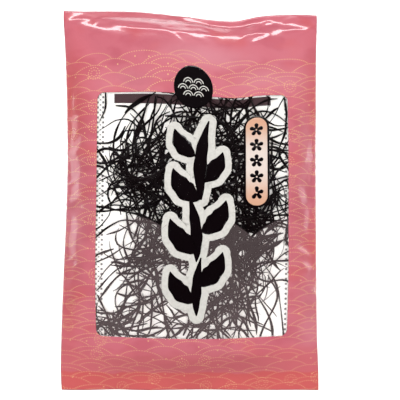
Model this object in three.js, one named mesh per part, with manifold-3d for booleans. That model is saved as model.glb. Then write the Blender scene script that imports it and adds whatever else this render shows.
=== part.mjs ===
// A retail pouch of dried arame, a brown kelp cut into thin dark strands.
// Two films are sealed along all four edges: a printed front film with a clear window in it, and a
// back film. Between them lies the tangle of strands, which shows through the window.
// The pouch lies on its back, as on a table. X runs across it, Y runs towards its top seal, and Z is
// up, out of the window. Sizes are in millimetres. The origin is on the table, under the middle.

import * as THREE from "three";
import { mergeVertices } from "three/addons/utils/BufferGeometryUtils.js";
import Module from "manifold-3d";

const wasm = await Module();
wasm.setup();

// Driving dimensions of the pouch
const pouchWidth = 160;
const pouchLength = 235;
const pouchThickness = 27;
const sideSeal = 9;
const bottomSeal = 12;
const topSeal = 10;
const sealHeight = 7; // the sealed edges stand this far off the table
const filmThickness = 0.6;
const filmGap = 0.3; // between pieces that touch

// The clear window, with its left, right, bottom and top edges
const windowLeft = -58.2;
const windowRight = 60.8;
const windowBottom = -85.3;
const windowTop = 65;
const windowCorner = 4;

// The arame
const strandCount = 100;
const strandRadius = 0.95;
const strandSides = 3;
const strandSegments = 6;
const strandClearance = 2.3; // from a strand's middle to a film

// Where the strands lie thickest: the middle of each clump, how far it spreads each way, the
// direction that most of its strands run in (radians), how far they stray from it, and its share.
const clumps = [
  { x: 20, y: 32, wide: 34, long: 24, run: 1.2, stray: 1.6, share: 24 },
  { x: -28, y: 8, wide: 22, long: 20, run: 0.1, stray: 0.9, share: 14 },
  { x: 46, y: -10, wide: 14, long: 34, run: 1.4, stray: 0.6, share: 12 },
  { x: 14, y: -14, wide: 28, long: 24, run: 0.6, stray: 1.6, share: 14 },
  { x: -26, y: -44, wide: 20, long: 16, run: 0.6, stray: 0.5, share: 12 },
  { x: 4, y: -76, wide: 50, long: 18, run: 0.3, stray: 1.6, share: 26 },
  { x: -32, y: 48, wide: 16, long: 12, run: 1.5, stray: 0.7, share: 8 },
];

const halfWidth = pouchWidth / 2;
const halfLength = pouchLength / 2;

const clamp01 = (t) => Math.min(1, Math.max(0, t));
const smoothstep = (low, high, t) => THREE.MathUtils.smoothstep(t, low, high);

// The outline. The filling draws the long edges in, and the top edge sags where the header curls.
const sidePull = 3.2;
const sideWave = 0.5;
const topSagCentre = 26;
const topSagDepth = 4.6;
const topSagLeftReach = 28;
const topSagRightReach = 14;
const topSlope = 2.5;

function pulledIn(y) {
  const along = y / halfLength;
  const wave = sideWave * Math.sin(5 * Math.PI * along);
  return (sidePull + wave) * (1 - along ** 4);
}

function topSag(x) {
  const reach = x < topSagCentre ? topSagLeftReach : topSagRightReach;
  const bump = Math.exp(-(((x - topSagCentre) / reach) ** 2));
  return topSagDepth * bump + topSlope * smoothstep(-60, 20, x);
}

// Where a point of the flat film comes to lie, seen from above
function placed(x, y) {
  const nearTop = smoothstep(0, halfLength, y);
  return {
    x: x * (1 - pulledIn(y) / halfWidth),
    y: y - topSag(x) * nearTop,
  };
}

// The point of the flat film that comes to lie over a spot, seen from above
function flattened(x, y) {
  const flatX = x / (1 - pulledIn(y) / halfWidth);
  return { x: flatX, y: y + topSag(flatX) * smoothstep(0, halfLength, y) };
}

// How full the pouch is at a point of the flat film, from 0 at the seals to 1 in the middle
function fullness(x, y) {
  const across = clamp01(Math.abs(x) / (halfWidth - sideSeal));
  const low = -halfLength + bottomSeal;
  const high = halfLength - topSeal;
  const along = clamp01(Math.abs((2 * y - low - high) / (high - low)));
  return (1 - across ** 2.2) ** 0.62 * (1 - along ** 2.6) ** 0.7;
}

// The top seal curls up a little where its edge sags
function headerCurl(x, y) {
  const curlRise = 4;
  const bump = Math.exp(-(((x - topSagCentre) / 34) ** 2));
  return curlRise * bump * smoothstep(halfLength - 32, halfLength, y);
}

function frontUnderside(x, y) {
  const rise = pouchThickness - filmThickness - sealHeight - filmGap / 2;
  return sealHeight + filmGap / 2 + rise * fullness(x, y) + headerCurl(x, y);
}

// The back film is flat on the table in the middle and rises to the seals
function backUnderside(x, y) {
  const atSeal = sealHeight - filmGap / 2 - filmThickness;
  const drop = clamp01(1.45 * fullness(x, y));
  return atSeal * (1 - drop ** 1.3) + headerCurl(x, y);
}

// Solids and geometries
function solidFrom(geometry) {
  const bare = geometry.clone();
  bare.deleteAttribute("normal");
  bare.deleteAttribute("uv");
  const merged = mergeVertices(bare, 1e-4);
  return new wasm.Manifold(
    new wasm.Mesh({
      numProp: 3,
      vertProperties: new Float32Array(merged.attributes.position.array),
      triVerts: new Uint32Array(merged.index.array),
    }),
  );
}

function geometryFrom(solid) {
  const mesh = solid.getMesh();
  const positions = new Float32Array(mesh.vertProperties);
  const geometry = new THREE.BufferGeometry();
  geometry.setAttribute("position", new THREE.BufferAttribute(positions, 3));
  geometry.setIndex(new THREE.BufferAttribute(new Uint32Array(mesh.triVerts), 1));
  geometry.computeVertexNormals();
  return geometry;
}

// A film: a thin box, laid over the surface that its underside follows
const filmColumns = 18;
const filmRows = 26;

function filmGeometry(underside) {
  const box = new THREE.BoxGeometry(
    pouchWidth,
    pouchLength,
    filmThickness,
    filmColumns,
    filmRows,
    1,
  );
  const position = box.attributes.position;
  for (let i = 0; i < position.count; i += 1) {
    const x = position.getX(i);
    const y = position.getY(i);
    const upper = position.getZ(i) > 0 ? filmThickness : 0;
    const spot = placed(x, y);
    position.setXYZ(i, spot.x, spot.y, underside(x, y) + upper);
  }
  return box;
}

// A rounded rectangle as tall as the pouch, the shape of the window seen from above
function windowPrism(inset) {
  const left = windowLeft + inset;
  const right = windowRight - inset;
  const bottom = windowBottom + inset;
  const top = windowTop - inset;
  const corner = windowCorner - inset;
  const quarter = Math.PI / 2;
  const shape = new THREE.Shape();
  shape.absarc(right - corner, top - corner, corner, 0, quarter);
  shape.absarc(left + corner, top - corner, corner, quarter, 2 * quarter);
  shape.absarc(left + corner, bottom + corner, corner, 2 * quarter, 3 * quarter);
  shape.absarc(right - corner, bottom + corner, corner, 3 * quarter, 4 * quarter);
  return new THREE.ExtrudeGeometry(shape, {
    depth: 2 * pouchThickness,
    bevelEnabled: false,
    curveSegments: 4,
  });
}

function frontFilmSolids() {
  const whole = solidFrom(filmGeometry(frontUnderside));
  const opening = solidFrom(windowPrism(0));
  const pane = solidFrom(windowPrism(filmGap));
  return { printed: whole.subtract(opening), clear: whole.intersect(pane) };
}

// Random draws that are the same on every run
function seededRandom(seed) {
  let state = seed;
  return () => {
    state = (state + 0x6d2b79f5) | 0;
    let t = Math.imul(state ^ (state >>> 15), 1 | state);
    t = (t + Math.imul(t ^ (t >>> 7), 61 | t)) ^ t;
    return ((t ^ (t >>> 14)) >>> 0) / 4294967296;
  };
}

const random = seededRandom(20);
const between = (low, high) => low + (high - low) * random();

// A height inside the pouch: 0 is as low as a strand can lie, and 1 is as high
function heightInside(x, y, level) {
  const film = flattened(x, y);
  const low = backUnderside(film.x, film.y) + filmThickness + strandClearance;
  const high = frontUnderside(film.x, film.y) - strandClearance;
  return high > low ? low + (high - low) * level : (low + high) / 2;
}

// How far inside the strands' own outline a point is, below 0 outside it
function roomLeft(x, y) {
  const margin = 16;
  return Math.min(
    halfWidth - margin - Math.abs(x),
    halfLength - 2 * margin - y,
    halfLength - margin + y,
  );
}

// Half of a strand: from its middle it wanders off in a heading, and turns back where room runs out
function wander(x, y, heading, bend, stride, strides) {
  const spots = [];
  let turn = bend;
  for (let i = 0; i < strides; i += 1) {
    turn = 0.7 * turn + 0.3 * bend + between(-0.16, 0.16);
    heading += turn;
    const side = turn < 0 ? -1 : 1;
    for (let tries = 0; tries < 12; tries += 1) {
      if (roomLeft(x + stride * Math.cos(heading), y + stride * Math.sin(heading)) > 0) break;
      heading += 0.3 * side;
    }
    x += stride * Math.cos(heading);
    y += stride * Math.sin(heading);
    spots.push({ x, y });
  }
  return spots;
}

// A strand of a clump, lying at its own height in the pouch and rising or falling a little
function strandCurve(clump) {
  const around = between(0, 2 * Math.PI);
  const out = Math.sqrt(random());
  const middle = {
    x: clump.x + clump.wide * out * Math.cos(around),
    y: clump.y + clump.long * out * Math.sin(around),
  };
  const heading = clump.run + between(-clump.stray, clump.stray);
  const bend = between(-0.28, 0.28);
  const stride = between(12, 19);
  const strides = strandSegments / 2;
  const spots = [
    ...wander(middle.x, middle.y, heading + Math.PI, -bend, stride, strides).reverse(),
    middle,
    ...wander(middle.x, middle.y, heading, bend, stride, strides),
  ];
  const level = random();
  const climb = between(-0.25, 0.25);
  const points = spots.map(({ x, y }, i) => {
    const share = clamp01(level + climb * (i / strandSegments - 0.5));
    return new THREE.Vector3(x, y, heightInside(x, y, share));
  });
  return new THREE.CatmullRomCurve3(points, false, "centripetal");
}

function strandSolid(curve) {
  const radius = strandRadius * between(0.8, 1.2);
  const section = new THREE.Shape();
  for (let i = 0; i < strandSides; i += 1) {
    const angle = (2 * Math.PI * i) / strandSides;
    const corner = [radius * Math.cos(angle), radius * Math.sin(angle)];
    if (i) section.lineTo(...corner);
    else section.moveTo(...corner);
  }
  return solidFrom(
    new THREE.ExtrudeGeometry(section, {
      steps: strandSegments,
      bevelEnabled: false,
      extrudePath: curve,
    }),
  );
}

// The whole tangle. Strands join where they touch, as the damp kelp does when it dries.
// Only the outer surface of the largest body is kept, so that sealed hollows are filled and loose
// scraps are dropped.
function arameSolid() {
  const shares = clumps.reduce((sum, clump) => sum + clump.share, 0);
  const strands = clumps.flatMap((clump) => {
    const count = Math.round((strandCount * clump.share) / shares);
    return Array.from({ length: count }, () => strandSolid(strandCurve(clump)));
  });
  const bodies = wasm.Manifold.union(strands).decompose();
  return bodies.reduce((a, b) => (b.volume() > a.volume() ? b : a));
}

// Materials, one for each piece
const printedFilm = new THREE.MeshStandardMaterial({
  color: 0xd9768a,
  roughness: 0.32,
  metalness: 0,
});
const clearFilm = new THREE.MeshStandardMaterial({
  color: 0xffffff,
  roughness: 0.08,
  metalness: 0,
  transparent: true,
  opacity: 0.16,
});
const whiteBackedFilm = new THREE.MeshStandardMaterial({
  color: 0xf2efec,
  roughness: 0.4,
  metalness: 0,
});
const driedKelp = new THREE.MeshStandardMaterial({
  color: 0x241a1a,
  roughness: 0.7,
  metalness: 0,
});

function namedMesh(name, geometry, material) {
  const mesh = new THREE.Mesh(geometry, material);
  mesh.name = name;
  return mesh;
}

const frontFilm = frontFilmSolids();
const pouch = new THREE.Group();
pouch.name = "arame_pouch";
pouch.add(
  namedMesh("front_film", geometryFrom(frontFilm.printed), printedFilm),
  namedMesh("window_film", geometryFrom(frontFilm.clear), clearFilm),
  namedMesh("back_film", filmGeometry(backUnderside), whiteBackedFilm),
  namedMesh("arame_strands", geometryFrom(arameSolid()), driedKelp),
);

export default pouch;
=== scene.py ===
# A retail pouch of dried arame, lying on its back on a pale table and seen from straight above.
# The film is cut flat, filled by a cloth simulation, and every printed piece is laid on it.
import math
import random

import bpy
import numpy as np
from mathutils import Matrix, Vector
from mathutils.bvhtree import BVHTree


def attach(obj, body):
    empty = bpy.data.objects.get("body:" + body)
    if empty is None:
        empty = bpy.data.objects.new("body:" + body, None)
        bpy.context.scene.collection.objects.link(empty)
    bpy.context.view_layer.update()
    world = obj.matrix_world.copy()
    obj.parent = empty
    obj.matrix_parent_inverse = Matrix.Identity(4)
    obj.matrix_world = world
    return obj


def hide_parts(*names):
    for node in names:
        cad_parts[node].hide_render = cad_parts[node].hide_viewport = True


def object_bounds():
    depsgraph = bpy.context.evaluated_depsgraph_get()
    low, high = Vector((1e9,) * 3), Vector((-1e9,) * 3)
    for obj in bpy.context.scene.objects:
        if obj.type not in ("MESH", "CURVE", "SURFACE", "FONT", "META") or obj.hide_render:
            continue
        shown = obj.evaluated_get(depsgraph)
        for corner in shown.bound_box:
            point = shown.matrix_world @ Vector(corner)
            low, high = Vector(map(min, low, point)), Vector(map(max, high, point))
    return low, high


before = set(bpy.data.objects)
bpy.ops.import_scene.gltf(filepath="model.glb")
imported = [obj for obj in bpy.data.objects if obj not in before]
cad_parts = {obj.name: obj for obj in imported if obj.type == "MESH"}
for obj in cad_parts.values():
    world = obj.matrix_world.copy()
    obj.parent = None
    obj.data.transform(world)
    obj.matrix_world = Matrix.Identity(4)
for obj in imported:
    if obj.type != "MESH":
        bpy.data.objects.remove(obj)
cadLow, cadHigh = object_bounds()
mm = 0.001
print("frame loaded")


# Picking things, as by hand
def pick(piece):
    bpy.ops.object.select_all(action="DESELECT")
    piece.select_set(True)
    bpy.context.view_layer.objects.active = piece


def pickFaces(piece, wanted):
    pick(piece)
    bpy.context.tool_settings.mesh_select_mode = (False, False, True)
    bpy.ops.object.mode_set(mode="EDIT")
    bpy.ops.mesh.select_all(action="DESELECT")
    bpy.ops.object.mode_set(mode="OBJECT")
    for face in piece.data.polygons:
        face.select = wanted(face)
    bpy.ops.object.mode_set(mode="EDIT")


def applyModifier(piece, kind, **settings):
    pick(piece)
    modifier = piece.modifiers.new(kind.title(), kind)
    for name, value in settings.items():
        setattr(modifier, name, value)
    bpy.ops.object.modifier_apply(modifier=modifier.name)


def applyPlace(piece):
    pick(piece)
    bpy.ops.object.transform_apply(location=True, rotation=True, scale=True)


def finishPiece(piece, name, slot, *nodes):
    piece.name = piece.data.name = name
    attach(piece, "root")
    if nodes:
        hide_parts(*nodes)
    print("made", name)


def smoothStep(low, high, value):
    share = np.clip((value - low) / (high - low), 0, 1)
    return share * share * (3 - 2 * share)


# The sealed pocket: two sheets that are one layer in the seals
pouch = {
    "width": cadHigh.x - cadLow.x,
    "length": cadHigh.y - cadLow.y,
    "thickness": cadHigh.z - cadLow.z,
    "sealHeight": 7 * mm,
    "sideSeal": 0,
    "bottomSeal": 12.5 * mm,
    "topSeal": 6 * mm,
    "clothCell": 2.5 * mm,
    "filmThickness": 0.12 * mm,
    "sheetGap": 0.3 * mm,  # between the two sheets in the seals
    "pressure": 5,
    "stiffness": 40,
    "bending": 2,
    "frames": 25,
    "flatBack": 0.62,  # the share of the back's drop that lies flat on the table
    "calm": (0.05, 0.4),  # how much of the simulation's wrinkles is kept, at the foot and above it
    "fitFrom": 0.4,  # how far out from the middle the borders begin to be moved
    "riseCurve": 1.5,  # above 1 the front rises more gently from the seals
    # where the long edges lie, as far along and across in mm: the filling draws them in
    "leftEdge": [(-117, -79.8), (-60, -79), (-30, -77.6), (10, -76.2), (60, -76.2), (117, -78.6)],
    "rightEdge": [(-117, 79.8), (-60, 78.6), (-20, 78), (30, 78.2), (60, 77.9), (117, 78.8)],
    "topSag": 4.6 * mm,
    "topSagMiddle": 26 * mm,
    "topSagReach": (28 * mm, 14 * mm),  # to the left and to the right
    "topSlope": 2.5 * mm,
    "headerCurl": 4 * mm,
}
halfWidth = pouch["width"] / 2
halfLength = pouch["length"] / 2
columns = round(pouch["width"] / pouch["clothCell"])
rows = round(pouch["length"] / pouch["clothCell"])
fillLeft = -halfWidth + pouch["sideSeal"]
fillBottom = -halfLength + pouch["bottomSeal"]
fillTop = halfLength - pouch["topSeal"]


def roomInside(x, y):
    return min(x - fillLeft, -fillLeft - x, y - fillBottom, fillTop - y)


def makePocket():
    bpy.ops.object.select_all(action="DESELECT")
    bpy.ops.mesh.primitive_grid_add(x_subdivisions=columns, y_subdivisions=rows, size=1)
    pocket = bpy.context.object
    pocket.scale = (pouch["width"], pouch["length"], 1)
    applyPlace(pocket)
    pickFaces(pocket, lambda face: roomInside(face.center.x, face.center.y) > 0)
    bpy.ops.mesh.duplicate()
    bpy.ops.mesh.flip_normals()
    bpy.ops.transform.translate(value=(0, 0, -mm))
    bpy.ops.object.mode_set(mode="OBJECT")
    luck = random.Random(3)
    for vertex in pocket.data.vertices:
        inside = roomInside(vertex.co.x, vertex.co.y) > 0.1 * pouch["clothCell"]
        away = luck.uniform(0.4, 0.5) if inside else luck.uniform(-0.02, 0.02)
        vertex.co.z = (-away if vertex.co.z < 0 else away) * mm
    pick(pocket)
    bpy.ops.object.mode_set(mode="EDIT")
    bpy.ops.mesh.select_all(action="SELECT")
    bpy.ops.mesh.remove_doubles(threshold=0.2 * mm)
    bpy.ops.object.mode_set(mode="OBJECT")
    return pocket


# The filling pushes the sheets apart, and the film puckers along the seals
def fillPocket(pocket):
    filled = pocket.vertex_groups.new(name="filled")
    inside = [v.index for v in pocket.data.vertices if roomInside(v.co.x, v.co.y) > -0.1 * mm]
    filled.add(inside, 1, "REPLACE")
    pick(pocket)
    cloth = pocket.modifiers.new("Cloth", "CLOTH")
    film = cloth.settings
    film.quality = 8
    film.mass = 0.1
    film.air_damping = 3
    film.tension_stiffness = film.compression_stiffness = film.shear_stiffness = pouch["stiffness"]
    film.bending_stiffness = pouch["bending"]
    film.use_pressure = True
    film.uniform_pressure_force = pouch["pressure"]
    film.vertex_group_pressure = "filled"
    film.effector_weights.gravity = 0
    cloth.collision_settings.use_collision = False
    cloth.point_cache.frame_end = pouch["frames"]
    for step in range(1, pouch["frames"] + 1):
        bpy.context.scene.frame_set(step)
    bpy.ops.object.modifier_apply(modifier="Cloth")
    bpy.context.scene.frame_set(1)


# The middle of each sheet as rows of points, by where they lie on the flat film
def sheetsOf(pocket):
    vertices = pocket.data.vertices
    spots = []
    for vertex in vertices:
        column = round((vertex.co.x + halfWidth) / pouch["clothCell"])
        row = round((vertex.co.y + halfLength) / pouch["clothCell"])
        single = roomInside(vertex.co.x, vertex.co.y) < 0.1 * pouch["clothCell"]
        spots.append((row, column, single, vertex.co.z > 0))
    fillPocket(pocket)
    places = np.empty(len(vertices) * 3)
    vertices.foreach_get("co", places)
    places = places.reshape(-1, 3)
    places[:, 2] = settled(places[:, 2])
    front = np.zeros((rows + 1, columns + 1, 3))
    back = np.zeros((rows + 1, columns + 1, 3))
    for (row, column, single, above), place in zip(spots, places):
        if single or above:
            front[row, column] = place
        if single or not above:
            back[row, column] = place
    bpy.data.objects.remove(pocket)
    return fitted(front, back)


def trend(values):
    along = np.linspace(-1, 1, len(values))
    return np.polyval(np.polyfit(along, values, 6), along)


def edgeLine(points, along):
    points = np.array(points) * mm
    return np.polyval(np.polyfit(points[:, 0], points[:, 1], 4), along)


# The simulation draws the edges in too far, so the borders are moved out to the pouch's own outline
def fitted(front, back):
    along = np.linspace(-halfLength, halfLength, rows + 1)
    moveLeft = edgeLine(pouch["leftEdge"], along) - trend(front[:, 0, 0])
    moveRight = edgeLine(pouch["rightEdge"], along) - trend(front[:, -1, 0])
    moveBottom = -halfLength - trend(front[0, :, 1])
    moveTop = halfLength - trend(front[-1, :, 1])
    across = np.linspace(-1, 1, columns + 1)
    up = np.linspace(-1, 1, rows + 1)[:, None]
    start = pouch["fitFrom"]
    for sheet in (front, back):
        sheet[:, :, 0] += moveLeft[:, None] * smoothStep(start, 1, -across)
        sheet[:, :, 0] += moveRight[:, None] * smoothStep(start, 1, across)
        sheet[:, :, 1] += moveBottom * smoothStep(start, 1, -up) + moveTop * smoothStep(start, 1, up)
    return front, back


# The pouch's weight presses its back flat, so the seals stand nearer to the table than the middle
def settled(height):
    gap = pouch["sheetGap"] / 2
    swell = np.clip(height / height.max(), 0, 1) ** pouch["riseCurve"]
    above = (pouch["thickness"] - pouch["sealHeight"] - gap) * swell
    drop = np.clip(height / (height.min() * (1 - pouch["flatBack"])), 0, 1)
    below = -(pouch["sealHeight"] - gap - pouch["filmThickness"]) * (1 - (1 - drop) ** 1.6)
    return pouch["sealHeight"] + np.where(height > 0, above, below)


# The header sags towards the filling at one place, and curls up there
def sagged(places, flatX, flatY):
    left, right = pouch["topSagReach"]
    reach = np.where(flatX < pouch["topSagMiddle"], left, right)
    bump = np.exp(-(((flatX - pouch["topSagMiddle"]) / reach) ** 2))
    sag = pouch["topSag"] * bump + pouch["topSlope"] * smoothStep(-60 * mm, 20 * mm, flatX)
    places[:, 1] -= sag * smoothStep(0, halfLength, flatY)
    places[:, 2] += pouch["headerCurl"] * bump * smoothStep(halfLength - 32 * mm, halfLength, flatY)
    return places


# Fewer and softer wrinkles than the simulation gives
def calmed(sheet):
    even = sheet.copy()
    for _ in range(14):
        even[1:-1] = (even[:-2] + 2 * even[1:-1] + even[2:]) / 4
        even[:, 1:-1] = (even[:, :-2] + 2 * even[:, 1:-1] + even[:, 2:]) / 4
    foot, rest = pouch["calm"]
    kept = foot + (rest - foot) * smoothStep(0.1, 0.25, np.linspace(0, 1, rows + 1))
    return even + kept[:, None, None] * (sheet - even)


def padded(sheet):
    sheet = np.concatenate([2 * sheet[:1] - sheet[1:2], sheet, 2 * sheet[-1:] - sheet[-2:-1]])
    left = 2 * sheet[:, :1] - sheet[:, 1:2]
    right = 2 * sheet[:, -1:] - sheet[:, -2:-1]
    return np.concatenate([left, sheet, right], axis=1)


frontSheet, backSheet = sheetsOf(makePocket())
sheets = {"front": padded(calmed(frontSheet)), "back": padded(calmed(backSheet))}
print("pouch filled")


# A smooth surface through a sheet's points, as a B-spline
def splineShares(t):
    return np.stack([(1 - t) ** 3, 3 * t**3 - 6 * t**2 + 4, 3 * t * (1 + t - t**2) + 1, t**3]) / 6


def bareFilm(side, flatX, flatY):
    column = np.clip((flatX + halfWidth) / pouch["clothCell"], 0, columns - 1e-6)
    row = np.clip((flatY + halfLength) / pouch["clothCell"], 0, rows - 1e-6)
    firstColumn = column.astype(int)
    firstRow = row.astype(int)
    across = splineShares(column - firstColumn)
    along = splineShares(row - firstRow)
    places = np.zeros((len(flatX), 3))
    for i in range(4):
        for j in range(4):
            share = (along[i] * across[j])[:, None]
            places += share * sheets[side][firstRow + i, firstColumn + j]
    places = sagged(places, flatX, flatY)
    places[:, 2] += pouch["sheetGap"] / 2 * (1 if side == "front" else -1)
    return places


def outwards(side, flatX, flatY):
    near = 0.2 * mm
    along = bareFilm(side, flatX, flatY + near) - bareFilm(side, flatX, flatY - near)
    across = bareFilm(side, flatX + near, flatY) - bareFilm(side, flatX - near, flatY)
    normal = np.cross(across, along)
    normal /= np.linalg.norm(normal, axis=1)[:, None]
    return normal if side == "front" else -normal


# Creases, most of them in the header, where the film was gripped while the top seal was welded.
# Each is a crest through these points seen from above, in mm, with its height and half width.
creases = [
    {"crest": [(-60, 110), (-57, 111.6), (-50.8, 112), (-34, 110.7), (-22, 109.4), (-16.1, 106.5)],
     "height": 0.45, "width": 1.5},
    {"crest": [(-16, 106.5), (-11.8, 108.2), (5.6, 107.6), (11, 106.3), (17.4, 104)],
     "height": 0.42, "width": 1.4},
    {"crest": [(-50, 110.3), (-45, 109), (-34.7, 106.3), (-15.5, 105.1), (-8.7, 103.9), (5.6, 103.9),
               (15, 100.8), (18, 102)], "height": 0.5, "width": 1.6},
    {"crest": [(-76, 111), (-69.4, 112.5), (-60, 112.6)], "height": 0.42, "width": 1.2},
    {"crest": [(-18, 106.5), (-9.3, 101.4), (-3, 94.8)], "height": 0.45, "width": 1.2},
    {"crest": [(57, 110.3), (63.9, 113), (69, 110.3)], "height": 0.42, "width": 1.2},
    {"crest": [(57, 104.7), (66, 105.5), (73, 105.1), (77.5, 109.8)], "height": 0.45, "width": 1.5},
    {"crest": [(30.5, 97.5), (34, 102), (42, 103.2), (50.5, 103.2)], "height": 0.45, "width": 1.3},
    {"crest": [(36.5, 96), (44.6, 99.5), (50, 102.2)], "height": 0.42, "width": 1.2},
    {"crest": [(34.5, 105.3), (41, 108)], "height": 0.4, "width": 1.0},
    {"crest": [(44.5, 109.3), (51.5, 110.2)], "height": 0.4, "width": 1.0},
    {"crest": [(-77, 49.5), (-69, 50.5), (-60, 52)], "height": 0.5, "width": 1.4},
    {"crest": [(-76.5, 8.5), (-69, 13)], "height": 0.4, "width": 1.2},
    {"crest": [(-77.5, -38.5), (-71, -35.5)], "height": 0.4, "width": 1.2},
    {"crest": [(62, -31), (70, -33), (78, -36)], "height": 0.6, "width": 3.0},
    {"crest": [(66, -38), (72, -42), (77.5, -45)], "height": 0.6, "width": 2.5},
    {"crest": [(62, -52), (70, -54), (78, -55)], "height": 0.5, "width": 3.0},
    {"crest": [(63, 30), (70, 27), (78, 28)], "height": 0.5, "width": 2.5},
    {"crest": [(-77, -2), (-68, 2), (-61, 3)], "height": 0.5, "width": 3.0},
    {"crest": [(-78, -62), (-70, -58), (-61, -57)], "height": 0.5, "width": 3.0},
    {"crest": [(-76, 28), (-66, 31)], "height": 0.5, "width": 2.5},
    {"crest": [(16, -91), (36, -96), (58, -92)], "height": 0.5, "width": 3.0},
    {"crest": [(-64, -92), (-42, -97), (-22, -93)], "height": 0.5, "width": 3.0},
]


# A crease has two nearly flat flanks, so its profile is a tent with a rounded ridge and foot
def creaseRise(x, y):
    rise = np.zeros(len(x))
    for crease in creases:
        crest = np.array(crease["crest"]) * mm
        nearest = np.full(len(x), 1.0)
        taper = np.zeros(len(x))
        count = len(crest) - 1
        for i in range(count):
            run = crest[i + 1] - crest[i]
            share = ((x - crest[i, 0]) * run[0] + (y - crest[i, 1]) * run[1]) / run.dot(run)
            share = np.clip(share, 0, 1)
            far = np.hypot(x - crest[i, 0] - share * run[0], y - crest[i, 1] - share * run[1])
            closer = far < nearest
            nearest = np.where(closer, far, nearest)
            taper = np.where(closer, np.sin(math.pi * (i + share) / count) ** 0.5, taper)
        profile = 1 - smoothStep(0, 1, nearest / (1.6 * crease["width"] * mm))
        rise = np.maximum(rise, crease["height"] * mm * profile * taper)
    return rise


def filmPlaces(side, flatX, flatY, lift=0.0):
    places = bareFilm(side, flatX, flatY)
    rise = lift + (creaseRise(places[:, 0], places[:, 1]) if side == "front" else 0)
    return places + outwards(side, flatX, flatY) * np.broadcast_to(rise, flatX.shape)[:, None]


# Flat pieces, cut out of a finely divided sheet and then laid on the film
def flatSheet(cell, left, right, bottom, top):
    bpy.ops.object.select_all(action="DESELECT")
    bpy.ops.mesh.primitive_grid_add(
        x_subdivisions=math.ceil((right - left) / cell),
        y_subdivisions=math.ceil((top - bottom) / cell),
        size=1,
        calc_uvs=False,
        location=((left + right) / 2, (bottom + top) / 2, 0),
    )
    sheet = bpy.context.object
    sheet.scale = (right - left, top - bottom, 1)
    applyPlace(sheet)
    return sheet


def cutSheet(sheet, cutter, operation):
    applyModifier(sheet, "BOOLEAN", operation=operation, object=cutter, solver="EXACT", use_self=True)
    return sheet


def cutOut(cutter, cell):
    lows = [min(v.co[axis] for v in cutter.data.vertices) - cell for axis in (0, 1)]
    highs = [max(v.co[axis] for v in cutter.data.vertices) + cell for axis in (0, 1)]
    piece = cutSheet(flatSheet(cell, lows[0], highs[0], lows[1], highs[1]), cutter, "INTERSECT")
    bpy.data.objects.remove(cutter)
    return piece


def layOnFilm(piece, side, lift=0.0):
    mesh = piece.data
    flat = np.empty(len(mesh.vertices) * 3)
    mesh.vertices.foreach_get("co", flat)
    flatX, flatY = flat.reshape(-1, 3)[:, 0], flat.reshape(-1, 3)[:, 1]
    corners = np.empty(len(mesh.loops), dtype=int)
    mesh.loops.foreach_get("vertex_index", corners)
    spots = np.stack([flatX / pouch["width"] + 0.5, flatY / pouch["length"] + 0.5], axis=1)
    mesh.uv_layers.new(name="film").data.foreach_set("uv", spots[corners].ravel())
    mesh.vertices.foreach_set("co", filmPlaces(side, flatX, flatY, lift).ravel())
    mesh.update()
    if side == "back":
        pick(piece)
        bpy.ops.object.mode_set(mode="EDIT")
        bpy.ops.mesh.select_all(action="SELECT")
        bpy.ops.mesh.flip_normals()
        bpy.ops.object.mode_set(mode="OBJECT")
    pick(piece)
    bpy.ops.object.shade_smooth()


def roundedPrism(left, right, bottom, top, corner):
    depth = 10 * mm
    bpy.ops.object.select_all(action="DESELECT")
    bpy.ops.mesh.primitive_cube_add(size=1, location=((left + right) / 2, (bottom + top) / 2, 0))
    prism = bpy.context.object
    prism.scale = (right - left, top - bottom, depth)
    applyPlace(prism)
    pick(prism)
    bpy.context.tool_settings.mesh_select_mode = (False, True, False)
    bpy.ops.object.mode_set(mode="EDIT")
    bpy.ops.mesh.select_all(action="DESELECT")
    bpy.ops.object.mode_set(mode="OBJECT")
    heights = [v.co.z for v in prism.data.vertices]
    for edge in prism.data.edges:
        edge.select = abs(heights[edge.vertices[0]] - heights[edge.vertices[1]]) > depth / 2
    bpy.ops.object.mode_set(mode="EDIT")
    bpy.ops.mesh.bevel(offset=corner, segments=10)
    bpy.ops.object.mode_set(mode="OBJECT")
    return prism


# Brush strokes: tubes along curves, which the flat sheet cuts through the middle
def strokeTubes(strokes, margin=0.0):
    curve = bpy.data.curves.new("strokes", "CURVE")
    curve.dimensions = "3D"
    curve.bevel_depth = 1
    curve.bevel_resolution = 2
    curve.use_fill_caps = True
    for points, radii in strokes:
        ends = []
        for at, inner in ((0, 1), (-1, -2)):
            tip, before = Vector(points[at]), Vector(points[inner])
            out = (tip - before).normalized()
            reach = radii[at] + margin
            ends.append([(tip + out * reach * math.sin(a), reach * math.cos(a)) for a in roundOff])
        line = ends[0][::-1] + [(Vector(p), r + margin) for p, r in zip(points, radii)] + ends[1]
        spline = curve.splines.new("POLY")
        spline.points.add(len(line) - 1)
        for point, (place, radius) in zip(spline.points, line):
            point.co = (place.x, place.y, 0, 1)
            point.radius = max(radius, 0.02 * mm)
    tubes = bpy.data.objects.new("strokes", curve)
    bpy.context.scene.collection.objects.link(tubes)
    pick(tubes)
    bpy.ops.object.convert(target="MESH")
    return bpy.context.object


roundOff = [math.radians(angle) for angle in (22, 45, 68, 88)]


# Node helpers
def feed(tree, socket, value):
    if isinstance(value, bpy.types.NodeSocket):
        tree.links.new(value, socket)
    else:
        socket.default_value = value


def calc(tree, operation, *values):
    node = tree.nodes.new("ShaderNodeMath")
    node.operation = operation
    for socket, value in zip(node.inputs, values):
        feed(tree, socket, value)
    return node.outputs[0]


def smoothMask(tree, value, low, high):
    node = tree.nodes.new("ShaderNodeMapRange")
    node.interpolation_type = "SMOOTHSTEP"
    feed(tree, node.inputs["Value"], value)
    node.inputs["From Min"].default_value = low
    node.inputs["From Max"].default_value = high
    return node.outputs["Result"]


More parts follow.
